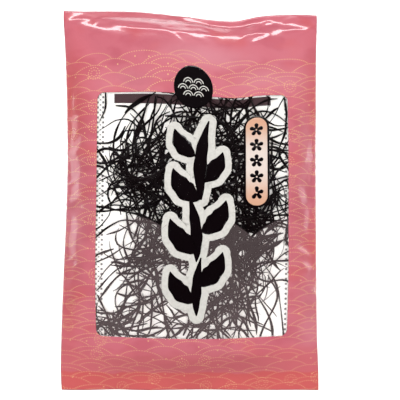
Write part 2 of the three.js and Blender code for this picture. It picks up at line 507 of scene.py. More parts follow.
def vectorCalc(tree, operation, *values):
    node = tree.nodes.new("ShaderNodeVectorMath")
    node.operation = operation
    for socket, value in zip(node.inputs, values):
        feed(tree, socket, value)
    return node.outputs[0]


def combine(tree, x, y, z=0.0):
    node = tree.nodes.new("ShaderNodeCombineXYZ")
    for socket, value in zip(node.inputs, (x, y, z)):
        feed(tree, socket, value)
    return node.outputs[0]


def separate(tree, vector):
    node = tree.nodes.new("ShaderNodeSeparateXYZ")
    feed(tree, node.inputs[0], vector)
    return node.outputs[0], node.outputs[1], node.outputs[2]


def mixColours(tree, share, first, second):
    node = tree.nodes.new("ShaderNodeMix")
    node.data_type = "RGBA"
    feed(tree, node.inputs[0], share)
    feed(tree, node.inputs[6], first)
    feed(tree, node.inputs[7], second)
    return node.outputs[2]


def mixVectors(tree, share, first, second):
    node = tree.nodes.new("ShaderNodeMix")
    node.data_type = "VECTOR"
    feed(tree, node.inputs[0], share)
    feed(tree, node.inputs[4], first)
    feed(tree, node.inputs[5], second)
    return node.outputs[1]


def noiseOf(tree, spot, scale, detail=2.0):
    node = tree.nodes.new("ShaderNodeTexNoise")
    feed(tree, node.inputs["Vector"], spot)
    node.inputs["Scale"].default_value = scale
    node.inputs["Detail"].default_value = detail
    return node.outputs["Fac"]


def paint(red, green, blue):
    linear = [c / 12.92 if c < 0.0405 else ((c + 0.055) / 1.055) ** 2.4
              for c in (red / 255, green / 255, blue / 255)]
    return (*linear, 1)


studio = {
    "table": paint(250, 250, 250),
    "brightness": 1.75,  # the light on a flat piece, where 1 shows a colour as it is
    "sky": 0.15,
    "field": 248 * mm,
    "distance": 1.2,
    "aim": (6.2 * mm, 0.3 * mm, 7 * mm),
    # place, size, power, and whether it is mirrored in the film
    "lights": [
        ((0.0, 0.0, 1.6), (0.25, 0.25), 30, False),
        ((0.0, 1.1, 1.0), (1.4, 0.25), 12.0, True),
        ((0.0, -1.1, 1.0), (1.8, 0.7), 2.5, False),
        ((-1.1, 0.0, 1.0), (0.7, 1.8), 3.0, False),
        ((1.1, 0.0, 1.0), (0.7, 1.8), 4.5, False),
    ],
}


# A dark or printed colour as it looks in the bright light that bleaches the white parts
def printed(red, green, blue):
    return (*(c / studio["brightness"] for c in paint(red, green, blue)[:3]), 1)


def newGroup(name, inputs, outputs):
    tree = bpy.data.node_groups.new(name, "ShaderNodeTree")
    for socket, kind in inputs:
        tree.interface.new_socket(socket, in_out="INPUT", socket_type=kind)
    for socket, kind in outputs:
        tree.interface.new_socket(socket, in_out="OUTPUT", socket_type=kind)
    return tree, tree.nodes.new("NodeGroupInput"), tree.nodes.new("NodeGroupOutput")


def placeGroup(tree, group, **values):
    node = tree.nodes.new("ShaderNodeGroup")
    node.node_tree = group
    for name, value in values.items():
        feed(tree, node.inputs[name], value)
    return node


def newMaterial(name, **settings):
    material = bpy.data.materials.new(name)
    material.use_nodes = True
    surface = material.node_tree.nodes["Principled BSDF"]
    for socket, value in settings.items():
        surface.inputs[socket.replace("_", " ")].default_value = value
    return material, material.node_tree, surface


# A spot of the flat film in mm, from its middle, out of the UV map that the pieces carry
def filmSpot(tree):
    flat = tree.nodes.new("ShaderNodeUVMap")
    flat.uv_map = "film"
    size = (pouch["width"] / mm, pouch["length"] / mm, 0)
    return vectorCalc(tree, "MULTIPLY_ADD", flat.outputs[0], size, (-size[0] / 2, -size[1] / 2, 0))


def roundDot(tree, across, up, radius):
    far = calc(tree, "SQRT", calc(tree, "ADD", calc(tree, "POWER", across, 2.0),
                                  calc(tree, "POWER", up, 2.0)))
    return calc(tree, "SUBTRACT", 1.0, smoothMask(tree, far, radius * 0.8, radius * 1.2))


# Gold dots in a ring round a middle, from how far across and up of it the spot is
def ringDots(tree, across, up, ring, stretch, dotGap, dotSize):
    turn = calc(tree, "ARCTAN2", up, across)
    far = calc(tree, "SQRT", calc(tree, "ADD", calc(tree, "POWER", across, 2.0),
                                  calc(tree, "POWER", up, 2.0)))
    along = calc(tree, "DIVIDE", calc(tree, "MULTIPLY", turn, calc(tree, "MULTIPLY", ring, stretch[0])), dotGap)
    along = calc(tree, "SUBTRACT", along, calc(tree, "ROUND", along))
    along = calc(tree, "MULTIPLY", along, dotGap)
    off = calc(tree, "MULTIPLY", calc(tree, "SUBTRACT", far, ring), stretch[1])
    gap = calc(tree, "SQRT", calc(tree, "ADD", calc(tree, "POWER", along, 2.0),
                                  calc(tree, "POWER", off, 2.0)))
    return calc(tree, "SUBTRACT", 1.0, smoothMask(tree, gap, dotSize * 0.6, dotSize * 1.2))


# The wave print: rows of flattened arches, each row behind the one below it, in dotted lines
waves = {
    "archWidth": 30.0,
    "archHeight": 15.0,
    "rowPitch": 0.25,
    "rings": (0.48, 0.33),
    "doubled": 0.35,  # the share of the arches that have a second line inside
    "dotGap": 1.5,
    "dotSize": 0.32,
    "topRow": 84.0,
    "waver": 7.0,
    "sprayGap": 17.0,
    "glintGap": 10.0,
}


def arch(tree, across, up, row):
    middle = calc(tree, "MULTIPLY", row, waves["rowPitch"])
    shift = calc(tree, "MULTIPLY", calc(tree, "FLOORED_MODULO", row, 2.0), 0.5)
    fromMiddle = calc(tree, "SUBTRACT", across, shift)
    fromMiddle = calc(tree, "SUBTRACT", fromMiddle, calc(tree, "ROUND", fromMiddle))
    above = calc(tree, "SUBTRACT", up, middle)
    far = calc(tree, "ADD", calc(tree, "POWER", fromMiddle, 2.0), calc(tree, "POWER", above, 2.0))
    return combine(tree, fromMiddle, above, middle), calc(tree, "LESS_THAN", far, 0.25)


def makeWaveGroup():
    sockets = [("Spot", "NodeSocketVector")]
    tree, start, end = newGroup("goldWaves", sockets, [("Gold", "NodeSocketFloat")])
    spot = start.outputs["Spot"]
    drift = vectorCalc(tree, "SUBTRACT", noiseColour(tree, spot, 0.03), (0.5, 0.5, 0.5))
    wavering = vectorCalc(tree, "MULTIPLY_ADD", drift, (waves["waver"],) * 3, spot)
    x, y, _ = separate(tree, wavering)
    across = calc(tree, "DIVIDE", x, waves["archWidth"])
    up = calc(tree, "DIVIDE", y, waves["archHeight"])
    lowest = calc(tree, "CEIL", calc(tree, "DIVIDE", calc(tree, "SUBTRACT", up, 0.5), waves["rowPitch"]))
    chosen, _ = arch(tree, across, up, calc(tree, "ADD", lowest, 3.0))
    for later in (2.0, 1.0, 0.0):
        nearer, covers = arch(tree, across, up, calc(tree, "ADD", lowest, later))
        chosen = mixVectors(tree, covers, chosen, nearer)
    fromMiddle, above, middle = separate(tree, chosen)
    far = calc(tree, "SQRT", calc(tree, "ADD", calc(tree, "POWER", fromMiddle, 2.0),
                                  calc(tree, "POWER", above, 2.0)))
    outer, inner = waves["rings"]
    isOuter = calc(tree, "GREATER_THAN", far, (outer + inner) / 2)
    ring = calc(tree, "MULTIPLY_ADD", isOuter, outer - inner, inner)
    number = tree.nodes.new("ShaderNodeTexWhiteNoise")
    archColumn = calc(tree, "ROUND", calc(tree, "MULTIPLY", calc(tree, "SUBTRACT", across, fromMiddle), 2.0))
    archRow = calc(tree, "ROUND", calc(tree, "DIVIDE", middle, waves["rowPitch"]))
    feed(tree, number.inputs["Vector"], combine(tree, archColumn, archRow))
    isDoubled = calc(tree, "LESS_THAN", number.outputs["Value"], waves["doubled"])
    stretch = (waves["archWidth"], waves["archHeight"])
    lines = ringDots(tree, fromMiddle, above, ring, stretch, waves["dotGap"], waves["dotSize"])
    lines = calc(tree, "MULTIPLY", lines, calc(tree, "MAXIMUM", isOuter, isDoubled))
    below = calc(tree, "LESS_THAN", calc(tree, "MULTIPLY", middle, waves["archHeight"]), waves["topRow"])
    sprays = dotSprays(tree, spot, waves["sprayGap"], (1.9, 3.5), 0.6, waves["dotSize"])
    glints = dotSprays(tree, spot, waves["glintGap"], (0.0,), 0.5, 0.42)
    gold = calc(tree, "MAXIMUM", lines, calc(tree, "MAXIMUM", sprays, glints))
    gold = calc(tree, "MULTIPLY", gold, below)
    feed(tree, end.inputs["Gold"], gold)
    return tree


def noiseColour(tree, spot, scale):
    node = tree.nodes.new("ShaderNodeTexNoise")
    feed(tree, node.inputs["Vector"], spot)
    node.inputs["Scale"].default_value = scale
    node.inputs["Detail"].default_value = 0
    return node.outputs["Color"]


# Sprays of dots scattered between the arches, and single larger dots
def dotSprays(tree, spot, gap, radii, rarity, dotSize):
    cells = tree.nodes.new("ShaderNodeTexVoronoi")
    cells.voronoi_dimensions = "2D"
    cells.inputs["Scale"].default_value = 1
    cells.inputs["Randomness"].default_value = 0.8
    small = vectorCalc(tree, "MULTIPLY", spot, (1 / gap, 1 / gap, 0))
    feed(tree, cells.inputs["Vector"], small)
    away = vectorCalc(tree, "SUBTRACT", small, cells.outputs["Position"])
    across, up, _ = separate(tree, vectorCalc(tree, "MULTIPLY", away, (gap, gap, 0)))
    chance, _, _ = separate(tree, cells.outputs["Color"])
    shown = calc(tree, "GREATER_THAN", chance, rarity)
    mask = 0.0
    for radius in radii:
        if radius:
            dots = ringDots(tree, across, up, radius, (1.0, 1.0), waves["dotGap"], dotSize)
        else:
            dots = roundDot(tree, across, up, dotSize)
        mask = calc(tree, "MAXIMUM", mask, dots)
    return calc(tree, "MULTIPLY", mask, shown)


# The pink ink, which drifts between coral and mauve, with the gold print on it; paler patches of painted sheen
# and a painted shade above the bottom seal are mixed in too
ink = {
    "pink": printed(217, 117, 131),
    "coral": printed(219, 102, 104),
    "mauve": printed(208, 106, 121),
    # pale: the colour of the painted sheen patches
    "pale": printed(226, 148, 160),
    "shaded": printed(214, 110, 118),
    "foot": printed(217, 101, 101),
    "gold": printed(252, 200, 144),
    "goldCover": 0.95,
    "footGold": 0.65,  # its cover near the bottom seal
    # painted sheen: paler patches where the glossy film would mirror the soft lights; x, y, half width and half
    # length in mm, cover
    "paintedSheenSpots": [
        (10, 89, 30, 8, 0.75), (46, 76, 26, 9, 0.6), (-34, 72, 26, 8, 0.35), (74, -76, 9, 26, 0.4),
        (-72, -12, 8, 22, 0.35), (-20, 112, 24, 3, 0.5), (60, 92, 18, 8, 0.2), (72, 36, 7, 26, 0.3),
    ],
    # redder patches
    "coralSpots": [
        (-79, 60, 13, 32, 1.0), (79, 64, 8, 30, 0.7), (78, -30, 8, 12, 0.8), (-76, -72, 9, 26, 0.5),
        (66, -94, 16, 5, 0.6), (-30, 114, 60, 3, 0.3),
    ],
}


def softSpots(tree, x, y, spots):
    mask = 0.0
    for middleX, middleY, wide, tall, cover in spots:
        across = calc(tree, "DIVIDE", calc(tree, "SUBTRACT", x, middleX), wide)
        along = calc(tree, "DIVIDE", calc(tree, "SUBTRACT", y, middleY), tall)
        far = calc(tree, "ADD", calc(tree, "POWER", across, 2.0), calc(tree, "POWER", along, 2.0))
        spot = calc(tree, "MULTIPLY", calc(tree, "EXPONENT", calc(tree, "MULTIPLY", far, -1.0)), cover)
        mask = calc(tree, "MAXIMUM", mask, spot)
    return mask


def makeInkGroup(waveGroup):
    tree, start, end = newGroup("pinkInk", [("Spot", "NodeSocketVector")], [("Color", "NodeSocketColor")])
    spot = start.outputs["Spot"]
    x, y, _ = separate(tree, spot)
    wide = vectorCalc(tree, "MULTIPLY", spot, (1.0, 1.6, 1.0))
    toCoral = calc(tree, "MULTIPLY", smoothMask(tree, noiseOf(tree, wide, 0.035), 0.5, 0.7), 0.5)
    toMauve = smoothMask(tree, noiseOf(tree, vectorCalc(tree, "ADD", wide, (300.0, 0.0, 0.0)), 0.05), 0.46, 0.62)
    sway = vectorCalc(tree, "MULTIPLY", spot, (1.0, 0.0, 0.0))
    level = calc(tree, "MULTIPLY_ADD", noiseOf(tree, sway, 0.05), 8.0, y)
    foot = smoothMask(tree, level, -100.6, -102.4)
    colour = mixColours(tree, toMauve, ink["pink"], ink["mauve"])
    toCoral = calc(tree, "MAXIMUM", toCoral, softSpots(tree, x, y, ink["coralSpots"]))
    colour = mixColours(tree, toCoral, colour, ink["coral"])
    # Painted sheen: paler patches laid over the ink where the film would mirror the soft lights
    colour = mixColours(tree, softSpots(tree, x, y, ink["paintedSheenSpots"]), colour, ink["pale"])
    colour = mixColours(tree, smoothMask(tree, y, -86.0, -99.0), colour, ink["shaded"])
    colour = mixColours(tree, foot, colour, ink["foot"])
    gold = placeGroup(tree, waveGroup, Spot=spot).outputs["Gold"]
    fade = smoothMask(tree, y, -76.0, -96.0)
    cover = calc(tree, "MULTIPLY_ADD", fade, ink["footGold"] - ink["goldCover"], ink["goldCover"])
    colour = mixColours(tree, calc(tree, "MULTIPLY", gold, cover), colour, ink["gold"])
    feed(tree, end.inputs["Color"], colour)
    return tree


waveGroup = makeWaveGroup()
inkGroup = makeInkGroup(waveGroup)


# Film has a fine crinkle of its own
def crinkle(tree, surface, spot, height):
    bump = tree.nodes.new("ShaderNodeBump")
    bump.inputs["Distance"].default_value = height
    bump.inputs["Strength"].default_value = 1
    feed(tree, bump.inputs["Height"], noiseOf(tree, spot, 0.12, 3.0))
    feed(tree, surface.inputs["Normal"], bump.outputs["Normal"])


def printedFilm():
    material, tree, surface = newMaterial("printedFilm", Roughness=0.25, IOR=1.5, Coat_Weight=1.0,
                                          Coat_Roughness=0.03)
    spot = filmSpot(tree)
    feed(tree, surface.inputs["Base Color"], placeGroup(tree, inkGroup, Spot=spot).outputs["Color"])
    crinkle(tree, surface, spot, 0.4 * mm)
    return material


# The front film
window = {
    "left": -57.2 * mm,
    "right": 59.5 * mm,
    "bottom": -82.3 * mm,
    "top": 66 * mm,
    "corner": 4 * mm,
    "cell": 1.0 * mm,
}


def windowPrism():
    return roundedPrism(window["left"], window["right"], window["bottom"], window["top"], window["corner"])


def makeFrontFilm(outside, inside):
    whole = flatSheet(window["cell"], -halfWidth, halfWidth, -halfLength, halfLength)
    prism = windowPrism()
    film = cutSheet(whole, prism, "DIFFERENCE")
    bpy.data.objects.remove(prism)
    layOnFilm(film, "front")
    film.data.materials.append(outside)
    film.data.materials.append(inside)
    applyModifier(film, "SOLIDIFY", thickness=pouch["filmThickness"], offset=-1, material_offset=1)
    finishPiece(film, "printed_front_film", "printed_film", "front_film")
    return film


def makeWindowFilm(clear):
    pane = cutOut(windowPrism(), window["cell"])
    layOnFilm(pane, "front")
    pane.data.materials.append(clear)
    applyModifier(pane, "SOLIDIFY", thickness=pouch["filmThickness"], offset=-1)
    finishPiece(pane, "clear_window_film", "clear_film", "window_film")
    return pane


# The clear film, with pale scalloped waves printed thinly over its lower part
haze = {
    "colour": paint(240, 212, 214),
    "bare": 0.02,
    "bareColour": (0.02, 0.02, 0.02, 1),
    # crest in mm, height and width of an arch, shift, cover
    "layers": [(-22.0, 12.0, 47.0, 9.0, 0.026), (-50.0, 9.0, 34.0, 0.0, 0.014), (-72.0, 7.0, 27.0, 14.0, 0.012)],
}


def clearFilm():
    material, tree, surface = newMaterial("clearFilm", Roughness=0.08, IOR=3.0, Specular_IOR_Level=1.0)
    spot = filmSpot(tree)
    x, y, _ = separate(tree, spot)
    alpha = haze["bare"]
    for top, height, width, shift, cover in haze["layers"]:
        turn = calc(tree, "MULTIPLY", calc(tree, "ADD", x, shift), math.pi / width)
        crest = calc(tree, "MULTIPLY_ADD", calc(tree, "ABSOLUTE", calc(tree, "SINE", turn)), height, top)
        under = smoothMask(tree, calc(tree, "SUBTRACT", crest, y), -0.3, 0.3)
        alpha = calc(tree, "MULTIPLY_ADD", under, cover, alpha)
    feed(tree, surface.inputs["Alpha"], alpha)
    hazed = smoothMask(tree, alpha, haze["bare"], 1.5 * haze["bare"])
    feed(tree, surface.inputs["Base Color"], mixColours(tree, hazed, haze["bareColour"], haze["colour"]))
    crinkle(tree, surface, spot, 0.2 * mm)
    return material


# The back film: printed outside with a bare panel, white inside
backFilm = {
    "white": paint(250, 247, 243),
    "panel": (44.0, 70.0, 6.0),  # half width, half length, corner
    "band": (-47.5, 50.0, 60.5, 66.0),  # left, right, bottom, top of the dark band inside
    "bandColour": printed(96, 72, 76),
    "lace": (-56.2, 60.6),  # the middles of the lace strips inside
    "laceSide": 1.75,
    "laceGap": 3.05,
    "laceColour": printed(40, 30, 32),
    "cell": 1.3 * mm,
}


def insideBox(tree, x, y, left, right, bottom, top):
    mask = calc(tree, "MULTIPLY", calc(tree, "GREATER_THAN", x, left), calc(tree, "LESS_THAN", x, right))
    high = calc(tree, "MULTIPLY", calc(tree, "GREATER_THAN", y, bottom), calc(tree, "LESS_THAN", y, top))
    return calc(tree, "MULTIPLY", mask, high)


# A strip of lace: dark dots down both sides, small ones between, and pale diamonds that join them
def laceDots(tree, x, y, middle):
    across = calc(tree, "ABSOLUTE", calc(tree, "SUBTRACT", x, middle))
    up = calc(tree, "DIVIDE", y, backFilm["laceGap"])
    fromSide = calc(tree, "MULTIPLY", calc(tree, "SUBTRACT", up, calc(tree, "ROUND", up)), backFilm["laceGap"])
    fromHalf = calc(tree, "MULTIPLY", calc(tree, "SUBTRACT", calc(tree, "FRACT", up), 0.5), backFilm["laceGap"])
    side = roundDot(tree, calc(tree, "SUBTRACT", across, backFilm["laceSide"]), fromSide, 0.72)
    centre = roundDot(tree, across, fromHalf, 0.45)
    slant = calc(tree, "ADD", calc(tree, "DIVIDE", across, backFilm["laceSide"]),
                 calc(tree, "DIVIDE", calc(tree, "ABSOLUTE", fromSide), backFilm["laceGap"] / 2))
    line = calc(tree, "LESS_THAN", calc(tree, "ABSOLUTE", calc(tree, "SUBTRACT", slant, 1.0)), 0.12)
    return calc(tree, "MAXIMUM", calc(tree, "MAXIMUM", side, centre), calc(tree, "MULTIPLY", line, 0.4))


def whiteInside():
    material, tree, surface = newMaterial("whiteInside", Roughness=0.35)
    spot = filmSpot(tree)
    x, y, _ = separate(tree, spot)
    left, right, bottom, top = backFilm["band"]
    band = insideBox(tree, x, y, left, right, bottom, top)
    colour = mixColours(tree, band, backFilm["white"], backFilm["bandColour"])
    for middle in backFilm["lace"]:
        colour = mixColours(tree, calc(tree, "MULTIPLY", laceDots(tree, x, y, middle), 0.85), colour,
                            backFilm["laceColour"])
    feed(tree, surface.inputs["Base Color"], colour)
    return material


def printedBack():
    material, tree, surface = newMaterial("printedBack", Roughness=0.25, IOR=1.5, Coat_Weight=1.0,
                                          Coat_Roughness=0.03)
    spot = filmSpot(tree)
    x, y, _ = separate(tree, spot)
    halfAcross, halfAlong, corner = backFilm["panel"]
    overX = calc(tree, "MAXIMUM", calc(tree, "SUBTRACT", calc(tree, "ABSOLUTE", x), halfAcross - corner), 0.0)
    overY = calc(tree, "MAXIMUM", calc(tree, "SUBTRACT", calc(tree, "ABSOLUTE", y), halfAlong - corner), 0.0)
    far = calc(tree, "SQRT", calc(tree, "ADD", calc(tree, "POWER", overX, 2.0),
                                  calc(tree, "POWER", overY, 2.0)))
    panel = calc(tree, "LESS_THAN", far, corner)
    pink = placeGroup(tree, inkGroup, Spot=spot).outputs["Color"]
    feed(tree, surface.inputs["Base Color"], mixColours(tree, panel, pink, backFilm["white"]))
    crinkle(tree, surface, spot, 0.4 * mm)
    return material


def makeBackFilm(outside, inside):
    film = flatSheet(backFilm["cell"], -halfWidth, halfWidth, -halfLength, halfLength)
    layOnFilm(film, "back")
    film.data.materials.append(outside)
    film.data.materials.append(inside)
    applyModifier(film, "SOLIDIFY", thickness=pouch["filmThickness"], offset=-1, material_offset=1)
    finishPiece(film, "printed_back_film", "backing_film", "back_film")
    return film


whiteLining = whiteInside()
frontFilm = makeFrontFilm(printedFilm(), whiteLining)
windowFilm = makeWindowFilm(clearFilm())
backPiece = makeBackFilm(printedBack(), whiteLining)


# The printed figures on the front: a round badge, a sprig of kelp and a tall label
figures = {
    "cell": 0.8 * mm,
    "lift": 0.1 * mm,
    "black": printed(14, 7, 10),
    "ivory": printed(229, 226, 219),
    "peach": printed(226, 174, 144),
    "palePeach": printed(240, 224, 214),
    "sprigMargin": 4.4 * mm,
    "badgeMiddle": (2.2 * mm, 70.0 * mm),
    "badgeRadius": 12.0 * mm,
    "labelMiddle": (40.6 * mm, 24.8 * mm),
    "labelHalf": (6.4 * mm, 27.8 * mm),
    "labelRim": 1.2 * mm,
}

# Each blade of the sprig: its root in mm, its heading in degrees, its bend, length and half width
blades = [
    (4.0, -69.0, 93, -16, 34.0, 2.6),
    (4.0, -37.0, 86, 22, 40.0, 3.0),
    (7.0, 1.0, 96, -24, 50.0, 3.4),
    (3.0, -61.0, 160, -62, 24.0, 4.4),
    (4.0, -51.0, 22, 60, 26.0, 4.8),
    (5.0, -31.0, 158, -58, 27.0, 5.0),
    (7.0, -19.0, 24, 58, 25.0, 4.8),
    (6.5, 1.0, 160, -60, 26.0, 5.0),
    (5.0, 13.0, 20, 62, 24.0, 4.6),
    (3.0, 28.0, 150, -50, 21.0, 4.2),
]


def bladeStroke(rootX, rootY, heading, bend, length, halfWidth):
    points, radii = [], []
    x, y, steps = rootX, rootY, 16
    for i in range(steps + 1):
        share = i / steps
        points.append((x * mm, y * mm, 0))
        edge = 1 + 0.07 * math.sin(share * 21)
        radii.append(max(0.5, 1.2 * halfWidth * edge * math.sin(math.pi * share**0.85) ** 0.8) * mm)
        turn = math.radians(heading + bend * share)
        x += length / steps * math.cos(turn)
        y += length / steps * math.sin(turn)
    return points, radii


def plainPrint(name, colour):
    material, tree, surface = newMaterial(name, Roughness=0.25, IOR=1.5, Coat_Weight=1.0,
                                          Coat_Roughness=0.03)
    spot = filmSpot(tree)
    speckle = smoothMask(tree, noiseOf(tree, spot, 0.6, 3.0), 0.35, 0.75)
    darker = (*(0.86 * c for c in colour[:3]), 1)
    feed(tree, surface.inputs["Base Color"], mixColours(tree, speckle, colour, darker))
    crinkle(tree, surface, spot, 0.2 * mm)
    return material


def labelPrint():
    material, tree, surface = newMaterial("labelPrint", Roughness=0.25, IOR=1.5, Coat_Weight=1.0,
                                          Coat_Roughness=0.03)
    spot = filmSpot(tree)
    _, y, _ = separate(tree, spot)
    middle = figures["labelMiddle"][1] / mm
    half = figures["labelHalf"][1] / mm
    fromMiddle = calc(tree, "DIVIDE", calc(tree, "ABSOLUTE", calc(tree, "SUBTRACT", y, middle)), half)
    tone = smoothMask(tree, fromMiddle, 0.15, 0.95)
    feed(tree, surface.inputs["Base Color"], mixColours(tree, tone, figures["palePeach"], figures["peach"]))
    crinkle(tree, surface, spot, 0.2 * mm)
    return material


def makeFigure(name, cutter, lift, material):
    figure = cutOut(cutter, figures["cell"])
    layOnFilm(figure, "front", lift)
    figure.data.materials.append(material)
    applyModifier(figure, "SOLIDIFY", thickness=0.03 * mm, offset=-1)
    finishPiece(figure, name, "printed_film")
    return figure


def pillPrism(rim):
    (x, y), (across, along) = figures["labelMiddle"], figures["labelHalf"]
    return roundedPrism(x - across - rim, x + across + rim, y - along - rim, y + along + rim,
                        (across + rim) * 0.98)


def discPrism(radius):
    bpy.ops.object.select_all(action="DESELECT")
    bpy.ops.mesh.primitive_cylinder_add(vertices=72, radius=radius, depth=10 * mm,
                                        location=(*figures["badgeMiddle"], 0))
    disc = bpy.context.object
    applyPlace(disc)
    return disc


# Small blossoms down the label, each of five petals round a middle
def blossomStrokes(x, y, reach, petal):
    strokes = []
    for i in range(5):
        turn = math.radians(90 + 72 * i)
        out = Vector((math.cos(turn), math.sin(turn), 0))
        middle = Vector((x, y, 0))
        strokes.append(([middle + out * reach * 0.45, middle + out * reach], [petal * 0.7, petal]))
    return strokes


# Three rows of small arches across the badge
def badgeStrokes():
    middleX, middleY = figures["badgeMiddle"]
    strokes = []
    for row, count in ((-1, 2), (0, 3), (1, 2)):
        for i in range(count):
            x = middleX + (i - (count - 1) / 2) * 6.4 * mm
            y = middleY + row * 3.6 * mm - 1.5 * mm
            for radius in (2.9 * mm, 1.5 * mm):
                turns = [math.radians(a) for a in range(15, 166, 15)]
                arc = [(x + radius * math.cos(t), y + radius * math.sin(t), 0) for t in turns]
                strokes.append((arc, [0.28 * mm] * len(arc)))
    return strokes


def makeFigures():
    black = plainPrint("blackPrint", figures["black"])
    ivory = plainPrint("ivoryPrint", figures["ivory"])
    lift = figures["lift"]
    strokes = [bladeStroke(*blade) for blade in blades]
    makeFigure("sprig_outline", strokeTubes(strokes, figures["sprigMargin"]), lift, ivory)
    makeFigure("sprig", strokeTubes(strokes), 2 * lift, black)
    makeFigure("badge", discPrism(figures["badgeRadius"]), 3 * lift, black)
    makeFigure("badge_waves", strokeTubes(badgeStrokes()), 4 * lift, ivory)
    makeFigure("label_rim", pillPrism(figures["labelRim"]), lift, black)
    makeFigure("label", pillPrism(0), 2 * lift, labelPrint())
    x, y = figures["labelMiddle"]
    blossoms = []
    for i in range(5):
        blossoms += blossomStrokes(x, y + (i - 2) * 10 * mm, 2.9 * mm, 1.25 * mm)
    makeFigure("label_blossoms", strokeTubes(blossoms), 3 * lift, black)


makeFigures()


# The arame
arame = {
    "tries": 9000,
    "length": (18, 75),
    "step": 2.6,
    "bend": 9.0,
    "sway": 5.5,
    "width": 1.15,
    "thickness": 0.5,
    "clear": 0.8,
    "cell": 4.0,
    "overfull": 0.12,  # the share of a strand that may lie where enough strands lie already
    # clumps: x, y, half width and half length in mm, layers of strands, heading, stray
    "clumps": [
        (4, 12, 40, 44, 2.4, 30, 180),
        (22, 30, 24, 26, 1.6, 90, 180),
        (32, -22, 26, 20, 2.4, 60, 180),
        (28, -46, 17, 22, 2.0, 80, 180),
        (-22, -20, 11, 12, 1.6, 80, 180),
        (-28, 16, 14, 22, 2.2, 0, 180),
        (-45, 20, 10, 22, 1.1, 10, 180),
        (-28, -36, 22, 9, 2.2, 30, 40),
        (-28, -59, 15, 15, 1.5, 20, 180),
        (-50, -77, 16, 9, 2.4, 20, 180),
        (-3, -81, 18, 6, 1.4, 10, 60),
        (22, -70, 22, 12, 1.7, 20, 180),
        (50, 12, 9, 30, 0.6, 92, 30),
    ],
    # thin places: x, y, half width and half length, layers fewer
    "thinPlaces": [
        (-54, 52, 12, 20, 1.4),
        (-48, -20, 13, 8, 3.0),
        (-54, -50, 9, 14, 1.6),
        (-59, 10, 5, 40, 0.8),
        (57, -70, 10, 22, 1.0),
        (58, -32, 7, 8, 1.0),
        (60, 50, 8, 16, 0.9),
        (-22, 57, 14, 8, 0.5),
        (-6, -22, 8, 5, 0.8),
    ],
    "leastLayers": 0.05,
}

# Strands that are seen one by one, where the tangle is thin: points in mm, then the width in mm
loneStrands = [
    ([(-26.7, 63), (-38.4, 55), (-45.3, 43.7), (-47.1, 31), (-44.6, 15)], 1.3),
    ([(-24.8, 60), (-36, 47), (-39.7, 31), (-38.4, 12)], 1.2),
    ([(-24.8, 64), (-29, 51), (-35, 34), (-33, 20)], 2.4),
    ([(-45.9, 58.6), (-37, 57.4), (-31, 52)], 1.4),
    ([(-21, 64), (-22.8, 47), (-27.3, 25)], 1.6),
    ([(-16, 64), (-20, 54), (-30, 44), (-36, 30), (-50, 24)], 1.3),
    ([(44.6, 44), (48.4, 22), (52.7, 0), (57.7, -18)], 1.3),
    ([(34, 51), (44.6, 55), (54.6, 52), (64, 44)], 1.2),
    ([(36, 46), (50, 45), (60, 41)], 1.1),
    ([(58, -24), (45, -31), (34, -38)], 2.4),
    ([(56, -20), (46, -28), (36, -33)], 2.0),
    ([(44.6, -38), (53.3, -52), (57, -74), (58.9, -97)], 1.2),
    ([(48, -46), (54, -60), (45, -80), (40, -96)], 1.3),
    ([(36, -50), (50, -75), (50, -98)], 1.6),
    ([(-24.8, -38), (-43.4, -46), (-57, -62)], 1.4),
    ([(-22, -34), (-44, -42), (-58, -56)], 1.2),
    ([(-38, -48), (-41, -66), (-50, -92)], 1.2),
    ([(-57, -58), (-50, -74), (-47, -90)], 1.6),
    ([(-33, -52), (-26, -66), (-14, -70)], 1.2),
    ([(-56, 12), (-42, 17), (-28, 12)], 1.3),
    ([(-58, 2), (-46, 8), (-30, 8)], 1.2),
    ([(-58, -8), (-44, 2), (-30, 14)], 1.4),
]


def filmTree(*pieces):
    corners, faces = [], []
    for piece in pieces:
        first = len(corners)
        corners += [v.co.copy() for v in piece.data.vertices]
        faces += [[first + i for i in face.vertices] for face in piece.data.polygons]
    return BVHTree.FromPolygons(corners, faces)


# The lowest and highest that a strand may lie over a spot of the table, or nothing
def roomAt(x, y, roof, ground):
    over = roof.ray_cast(Vector((x, y, 0.1)), Vector((0, 0, -1)))[0]
    under = ground.ray_cast(Vector((x, y, -0.1)), Vector((0, 0, 1)))[0]
    if over is None or under is None:
        return None
    low = under.z + arame["clear"] * mm
    high = over.z - arame["clear"] * mm
    return (low, high) if high - low > 1.5 * mm else None


def wander(luck, start, heading, steps):
    x, y = start
    bend = luck.gauss(0, arame["bend"])
    spots = []
    for _ in range(steps):
        bend += luck.gauss(0, arame["sway"]) - 0.25 * bend
        heading += bend
        if not (-66 < x < 66 and -98 < y < 84):
            home = math.degrees(math.atan2(-10 - y, 5 - x))
            heading += ((home - heading + 180) % 360 - 180) * 0.35
        x += arame["step"] * math.cos(math.radians(heading))
        y += arame["step"] * math.sin(math.radians(heading))
        spots.append((x, y))
    return spots


def clumpStrand(luck, clump):
    x, y, wide, tall, _, heading, stray = clump
    start = (x + wide * luck.gauss(0, 0.7), y + tall * luck.gauss(0, 0.7))
    heading += luck.uniform(-stray, stray)
    steps = round(luck.uniform(*arame["length"]) / arame["step"] / 2)
    backwards = wander(luck, start, heading + 180, steps)
    return backwards[::-1] + [start] + wander(luck, start, heading, steps)


# How many layers of strands lie over a spot
def layersAt(x, y):
    layers = 0.25
    for middleX, middleY, wide, tall, amount, *_ in arame["clumps"]:
        layers += amount * math.exp(-(((x - middleX) / wide) ** 2) - ((y - middleY) / tall) ** 2)
    for middleX, middleY, wide, tall, amount in arame["thinPlaces"]:
        layers -= amount * math.exp(-(((x - middleX) / wide) ** 2) - ((y - middleY) / tall) ** 2)
    return max(arame["leastLayers"], layers)


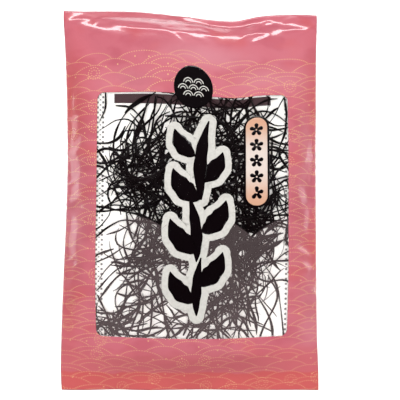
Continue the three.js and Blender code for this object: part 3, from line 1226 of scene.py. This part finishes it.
def throughPoints(points):
    spots = []
    ends = [tuple(2 * a - b for a, b in zip(points[0], points[1]))]
    ends.append(tuple(2 * a - b for a, b in zip(points[-1], points[-2])))
    line = [ends[0], *points, ends[1]]
    for a, b, c, d in zip(line, line[1:], line[2:], line[3:]):
        steps = max(2, round(math.dist(b, c) / arame["step"]))
        for i in range(steps):
            t = i / steps
            spots.append(tuple(
                0.5 * (2 * q + (r - p) * t + (2 * p - 5 * q + 4 * r - s) * t**2 + (3 * q - p - 3 * r + s) * t**3)
                for p, q, r, s in zip(a, b, c, d)))
    return spots + [points[-1]]


def cellOf(x, y):
    return round(x / arame["cell"]), round(y / arame["cell"])


# Strands are tried one by one, and one is left out where enough strands lie already
def strandPaths():
    luck = random.Random(11)
    paths = []
    laid = {}

    def lay(spots, width, level):
        for x, y in spots:
            cell = cellOf(x, y)
            laid[cell] = laid.get(cell, 0) + arame["step"] * width / arame["cell"] ** 2
        paths.append((spots, width, level))

    for points, width in loneStrands:
        lay(throughPoints(points), width, luck.uniform(0.5, 0.9))
    weights = [wide * tall * amount for _, _, wide, tall, amount, _, _ in arame["clumps"]]
    for clump in luck.choices(arame["clumps"], weights, k=arame["tries"]):
        spots = clumpStrand(luck, clump)
        full = sum(laid.get(cellOf(x, y), 0) > layersAt(x, y) for x, y in spots)
        if full < arame["overfull"] * len(spots):
            lay(spots, arame["width"] * luck.choice((0.65, 0.85, 1, 1, 1.2, 1.5)), luck.random())
    print("laid", len(paths), "strands")
    return paths


def makeStrandCurve(profile):
    curve = bpy.data.curves.new("strands", "CURVE")
    curve.dimensions = "3D"
    curve.bevel_mode = "OBJECT"
    curve.bevel_object = profile
    curve.use_fill_caps = True
    strands = bpy.data.objects.new("strands", curve)
    bpy.context.scene.collection.objects.link(strands)
    return strands


# The cut end of a strand: a flattened ring of six points
def makeProfile():
    curve = bpy.data.curves.new("profile", "CURVE")
    curve.dimensions = "2D"
    spline = curve.splines.new("POLY")
    spline.points.add(5)
    for i, point in enumerate(spline.points):
        turn = math.pi * i / 3
        point.co = (mm / 2 * math.cos(turn), arame["thickness"] / 2 * mm * math.sin(turn), 0, 1)
    spline.use_cyclic_u = True
    profile = bpy.data.objects.new("profile", curve)
    bpy.context.scene.collection.objects.link(profile)
    return profile


def addStrand(curve, places, width, luck):
    spline = curve.splines.new("POLY")
    spline.points.add(len(places) - 1)
    tilt = luck.uniform(-0.9, 0.9)
    ripple = luck.uniform(0, 6)
    for i, (point, place) in enumerate(zip(spline.points, places)):
        nearEnd = min(i, len(places) - 1 - i)
        point.co = (*place, 1)
        point.tilt = tilt + 0.7 * math.sin(0.5 * i + ripple)
        point.radius = width * (0.45 + 0.55 * min(1, nearEnd / 2)) * (1 + 0.15 * math.sin(0.9 * i + ripple))
    spline.material_index = luck.choice((0, 0, 0, 1, 1, 2))


def kelpMaterial(name, colour):
    material, tree, surface = newMaterial(name, Roughness=0.5, Specular_IOR_Level=0.25)
    place = tree.nodes.new("ShaderNodeTexCoord").outputs["Object"]
    grain = noiseOf(tree, place, 900.0, 3.0)
    patch = noiseOf(tree, place, 60.0, 2.0)
    pale = (*(min(1, 2.6 * c + 0.006) for c in colour[:3]), 1)
    share = calc(tree, "MULTIPLY", smoothMask(tree, grain, 0.45, 0.75), smoothMask(tree, patch, 0.45, 0.7))
    feed(tree, surface.inputs["Base Color"], mixColours(tree, share, colour, pale))
    bump = tree.nodes.new("ShaderNodeBump")
    bump.inputs["Distance"].default_value = 0.15 * mm
    feed(tree, bump.inputs["Height"], grain)
    feed(tree, surface.inputs["Normal"], bump.outputs["Normal"])
    return material


def makeArame():
    luck = random.Random(5)
    roof = filmTree(frontFilm, windowFilm)
    ground = filmTree(backPiece)
    profile = makeProfile()
    tones = [kelpMaterial("darkKelp", printed(15, 6, 8)), kelpMaterial("kelp", printed(24, 11, 13)),
             kelpMaterial("brownKelp", printed(56, 27, 23))]
    halves = [makeStrandCurve(profile), makeStrandCurve(profile)]
    for spots, width, level in strandPaths():
        climb = luck.uniform(-0.3, 0.3)
        places = []
        for i, (x, y) in enumerate(spots):
            room = roomAt(x * mm, y * mm, roof, ground)
            if room is None:
                if len(places) > 5:
                    break
                places = []
                continue
            share = min(1, max(0, level + climb * (i / len(spots) - 0.5) + 0.06 * math.sin(0.45 * i)))
            places.append((x * mm, y * mm, room[0] + (room[1] - room[0]) * share))
        if len(places) > 5:
            addStrand(halves[level > 0.5].data, places, width, luck)
    for half, name in zip(halves, ("arame_below", "arame_above")):
        pick(half)
        bpy.ops.object.convert(target="MESH")
        piece = bpy.context.object
        for tone in tones:
            piece.data.materials.append(tone)
        bpy.ops.object.shade_smooth_by_angle(angle=math.radians(50))
        finishPiece(piece, name, "dried_kelp", "arame_strands")
        print(name, "has", sum(len(face.vertices) - 2 for face in piece.data.polygons), "triangles")
    bpy.data.objects.remove(profile)


makeArame()


# The table, the lights and the camera
def makeTable():
    bpy.ops.object.select_all(action="DESELECT")
    bpy.ops.mesh.primitive_plane_add(size=3, location=(0, 0, -0.05 * mm))
    table = bpy.context.object
    table.name = "table"
    material, _, surface = newMaterial("tableTop", Roughness=0.9)
    surface.inputs["Base Color"].default_value = studio["table"]
    surface.inputs["Specular IOR Level"].default_value = 0
    table.data.materials.append(material)


def makeLights():
    for place, size, power, mirrored in studio["lights"]:
        bpy.ops.object.light_add(type="AREA", location=place)
        light = bpy.context.object
        light.data.shape = "RECTANGLE"
        light.data.size, light.data.size_y = size
        light.data.energy = power
        light.rotation_euler = (-Vector(place)).to_track_quat("-Z", "Y").to_euler()
        light.visible_glossy = mirrored
    world = bpy.data.worlds.new("studio")
    bpy.context.scene.world = world
    world.cycles_visibility.glossy = False
    world.use_nodes = True
    world.node_tree.nodes["Background"].inputs["Color"].default_value = (1, 1, 1, 1)
    world.node_tree.nodes["Background"].inputs["Strength"].default_value = studio["sky"]


def makeCamera():
    aim = Vector(studio["aim"])
    bpy.ops.object.camera_add(location=aim + Vector((0, 0, studio["distance"])))
    camera = bpy.context.object
    camera.data.sensor_width = 36
    camera.data.lens = camera.data.sensor_width * studio["distance"] / studio["field"]
    bpy.context.scene.camera = camera
    bpy.context.scene.view_settings.view_transform = "Standard"


makeTable()
makeLights()
makeCamera()
print("studio ready")
